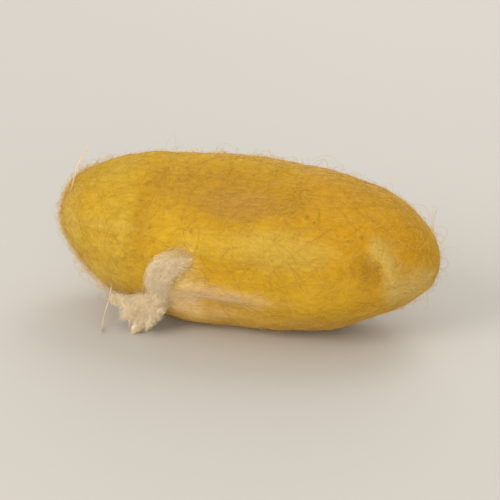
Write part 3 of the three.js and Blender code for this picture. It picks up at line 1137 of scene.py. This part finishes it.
# %% A group of crossed streaks
grain_group, grain_in, grain_out = new_group(
    "thread grain", {"Fineness": 1.0}, {"Grain": "NodeSocketFloat"}
)
grain_place = add_node(grain_group, "ShaderNodeTexCoord").outputs["Object"]
GRAIN_TILTS = [(0.35, 0.5, 0.45), (-0.3, -0.45, -0.5), (0.2, 0.1, 1.2)]
GRAIN_SCALE = (420.0, 3600.0, 3600.0)  # per metre: few lengthways, many across
THIRD_SHARE = 0.5  # how strong the third slant is
GRAIN_RANGE = (0.62, 1.0)  # what becomes 0, and what becomes 1
streaks = []
for tilt in GRAIN_TILTS:
    mapping = {"Vector": grain_place, "Rotation": tilt, "Scale": GRAIN_SCALE}
    laid = add_node(grain_group, "ShaderNodeMapping", mapping).outputs[0]
    stretched = {"Vector": laid, "Scale": grain_in["Fineness"], "Detail": 2.0, "Distortion": 0.6}
    streaks.append(add_node(grain_group, "ShaderNodeTexNoise", stretched).outputs["Fac"])
crossed = maths(grain_group, "MAXIMUM", streaks[0], streaks[1])
crossed = maths(grain_group, "MULTIPLY_ADD", streaks[2], THIRD_SHARE, crossed)
grain_ramp = add_node(
    grain_group,
    "ShaderNodeMapRange",
    {"Value": crossed, "From Min": GRAIN_RANGE[0], "From Max": GRAIN_RANGE[1]},
)
grain_group.links.new(grain_ramp.outputs[0], grain_out.inputs["Grain"])
print("streaks at", len(GRAIN_TILTS), "slants")

# %% [markdown]
# ## The finishes
#
# Raw silk is matt, because its threads still have their gum on, with a soft sheen at the edges
# where one looks along the nap. The felt of the wall lets a little light sink in. Single threads
# are glossier than the felt: those that lie on it, those that came loose, and the pale fuzz.
# Floss is paler, because its many edges scatter the light. The wisp is the palest, and its trail
# and the thick strands are tan. At the tuft's upper rim it's so thin that gold shows through.
# Values that are the same all over are set on the shader itself.

# %% The felt of the wall
SILK_GLOSS = (1, 0.85, 0.5, 1)
STREAKS_PALER = 0.15
BETWEEN_STREAKS = linear(158, 112, 16)
BETWEEN_SHARE = 0.2
ROUGH_BETWEEN = 0.78
ROUGH_ON_STREAKS = 0.63
# The floss on the wall is FLOSS_WHITE on the grain's streaks and darker between them, which is
# painted shade for the depth among its threads.
FLOSS_WHITE = linear(255, 230, 184)
FLOSS_IN_PAINTED_SHADE = linear(242, 208, 154)
THIN_RIM = patch((228, 190, 98), 0.8, (-3.4, 13), (3, 5.5), 0.9, 1.4)


def thin_at_rim(tree, floss_colour):
    """Floss that is so thin at the tuft's upper rim that the gold shows through."""
    place = use_group(tree, place_group).outputs
    return lay_patch(tree, place, floss_colour, "thin rim", **THIN_RIM)


felt, felt_tree, felt_shader = new_material(
    "felted silk",
    Subsurface_Weight=0.12,
    Subsurface_Radius=(1.0, 0.6, 0.2),
    Subsurface_Scale=0.6 * MM,
    Sheen_Weight=0.05,
    Sheen_Roughness=0.5,
    Sheen_Tint=(1, 0.9, 0.68, 1),
    Specular_IOR_Level=0.15,
    Specular_Tint=SILK_GLOSS,
)
felt_grain = use_group(felt_tree, grain_group, fineness=1.0).outputs["Grain"]
felt_paleness = maths(felt_tree, "MULTIPLY", felt_grain, STREAKS_PALER)
felt_colour = use_group(felt_tree, colour_group, paleness=felt_paleness).outputs["Color"]
felt_shade = maths(felt_tree, "MULTIPLY_ADD", felt_grain, -BETWEEN_SHARE, BETWEEN_SHARE)
felt_colour = mix_colours(felt_tree, felt_shade, felt_colour, BETWEEN_STREAKS)
felt_floss = add_node(felt_tree, "ShaderNodeAttribute", attribute_name="floss").outputs["Fac"]
# The floss on the wall, darker between the grain's streaks as painted shade.
floss_on_wall = thin_at_rim(felt_tree, mix_colours(felt_tree, felt_grain, FLOSS_IN_PAINTED_SHADE, FLOSS_WHITE))
felt_colour = mix_colours(felt_tree, felt_floss, felt_colour, floss_on_wall)
felt_tree.links.new(felt_colour, felt_shader.inputs["Base Color"])
felt_rough = maths(
    felt_tree, "MULTIPLY_ADD", felt_grain, ROUGH_ON_STREAKS - ROUGH_BETWEEN, ROUGH_BETWEEN
)
felt_tree.links.new(felt_rough, felt_shader.inputs["Roughness"])
bump = {"Strength": 0.4, "Distance": 0.03 * MM, "Height": felt_grain}
felt_bump = add_node(felt_tree, "ShaderNodeBump", bump)
felt_tree.links.new(felt_bump.outputs["Normal"], felt_shader.inputs["Normal"])
wall.data.materials.append(felt)


# %% Single threads
def thread_material(name, low_pale, high_pale, roughness):
    """Silk thread: the colour of the silk under it, and more or less pale from thread to thread."""
    material, tree, shader = new_material(
        name,
        Roughness=roughness,
        Specular_IOR_Level=0.3,
        Specular_Tint=SILK_GLOSS,
        Sheen_Weight=0.04,
        Sheen_Tint=(1, 0.92, 0.75, 1),
    )
    own = add_node(tree, "ShaderNodeAttribute", attribute_name="thread").outputs["Fac"]
    paleness = maths(tree, "MULTIPLY_ADD", own, high_pale - low_pale, low_pale)
    colour = use_group(tree, colour_group, paleness=paleness).outputs["Color"]
    tree.links.new(colour, shader.inputs["Base Color"])
    return material


laid_silk = thread_material("laid silk thread", low_pale=0.25, high_pale=0.75, roughness=0.5)
haze_silk = thread_material("loose silk thread", low_pale=0.3, high_pale=0.9, roughness=0.45)
fuzz_silk = thread_material("pale loose thread", low_pale=0.75, high_pale=1.0, roughness=0.45)
for piece in (pressed_threads, slack_threads):
    piece.data.materials.append(laid_silk)
for piece in (haze_threads, end_threads, thin_strands):
    piece.data.materials.append(haze_silk)
fuzz_threads.data.materials.append(fuzz_silk)


# %% Floss
GRAIN_SHARE = 0.3  # how much of a thread's brightness is the grain's, the rest is its own


def floss_material(name, dullest, brightest):
    """Floss that is duller or brighter from one thread to the next."""
    material, tree, shader = new_material(name, Roughness=0.5, Sheen_Weight=0.3)
    own = add_node(tree, "ShaderNodeAttribute", attribute_name="thread").outputs["Fac"]
    grain = use_group(tree, grain_group, fineness=0.6).outputs["Grain"]
    from_thread = maths(tree, "MULTIPLY", own, 1 - GRAIN_SHARE)
    share = maths(tree, "MULTIPLY_ADD", grain, GRAIN_SHARE, from_thread)
    colour = thin_at_rim(tree, mix_colours(tree, share, dullest, brightest))
    tree.links.new(colour, shader.inputs["Base Color"])
    return material


pale_floss = floss_material(
    "pale floss", dullest=linear(246, 212, 160), brightest=linear(255, 247, 216)
)
tan_floss = floss_material(
    "tan floss", dullest=linear(232, 196, 138), brightest=linear(252, 226, 176)
)
for piece in (wisp_threads, fluff_threads):
    piece.data.materials.append(pale_floss)
for piece in (trail_threads, thick_strands):
    piece.data.materials.append(tan_floss)

# %% [markdown]
# ## Join it to the frame
#
# Every piece rides on the one body, and the felted wall stands in for the plain solid.

# %% Attach every piece to the body
SILK_PIECES = [
    wall, pressed_threads, slack_threads, haze_threads, fuzz_threads, end_threads, thin_strands,
]
FLOSS_PIECES = [wisp_threads, fluff_threads, trail_threads, thick_strands]
for piece in SILK_PIECES + FLOSS_PIECES:
    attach(piece, "root")
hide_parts("cocoon")
